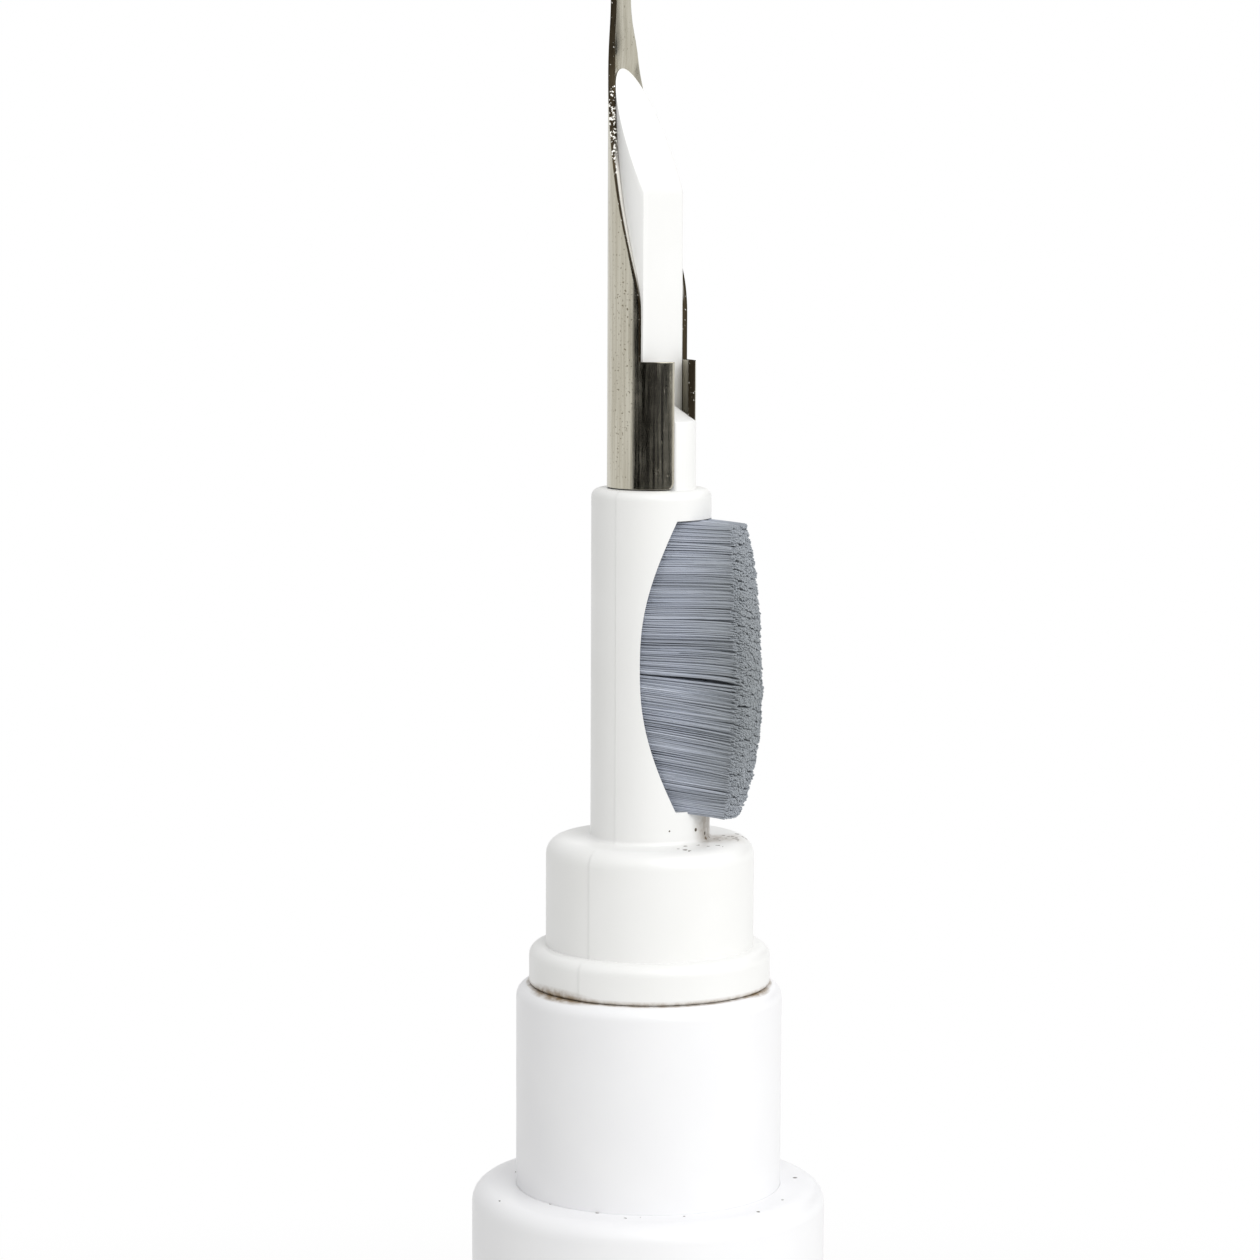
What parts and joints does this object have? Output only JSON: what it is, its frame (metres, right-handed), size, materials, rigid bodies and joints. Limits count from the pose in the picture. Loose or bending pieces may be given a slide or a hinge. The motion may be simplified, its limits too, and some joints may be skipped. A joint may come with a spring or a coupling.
{
  "type": "phone cleaning pen",
  "caption": "Stepped pen-shaped cleaning tool: a push-in head carries a rolled steel scraper nib and a side brush, and a pull-off rear cap covers a flocked sponge tip.",
  "frame": {"origin": "Centre of the rear cap's flat end face, on the pen's axis, where the pen stands.", "axes": "+Z runs along the pen from the rear cap to the nib's tip. The brush and the open side of the nib face -Y."},
  "size_m": [0.0144, 0.0144, 0.1217],
  "materials": {
    "white_abs": "satin moulded ABS",
    "steel": "rolled sheet, lightly scratched",
    "nylon": "fine grey-blue bristles",
    "foam": "flocked foam"
  },
  "bodies": {
    "barrel": {"outer_sleeve": "white_abs", "inner_tube": "white_abs", "sponge_holder": "white_abs", "flocked_sponge": "foam"},
    "tool_head": {"head_stem": "white_abs", "scraper_nib": "steel", "brush_tuft_upper": "nylon", "brush_tuft_lower": "nylon"},
    "end_cap": {"rear_cap": "white_abs"}
  },
  "joints": [
    {"name": "head_pull", "type": "slide", "parent": "barrel", "child": "tool_head", "axis": [0, 0, 1], "range_m": [0, 0.0085]},
    {"name": "cap_pull", "type": "slide", "parent": "barrel", "child": "end_cap", "axis": [0, 0, -1], "range_m": [0, 0.022]}
  ]
}
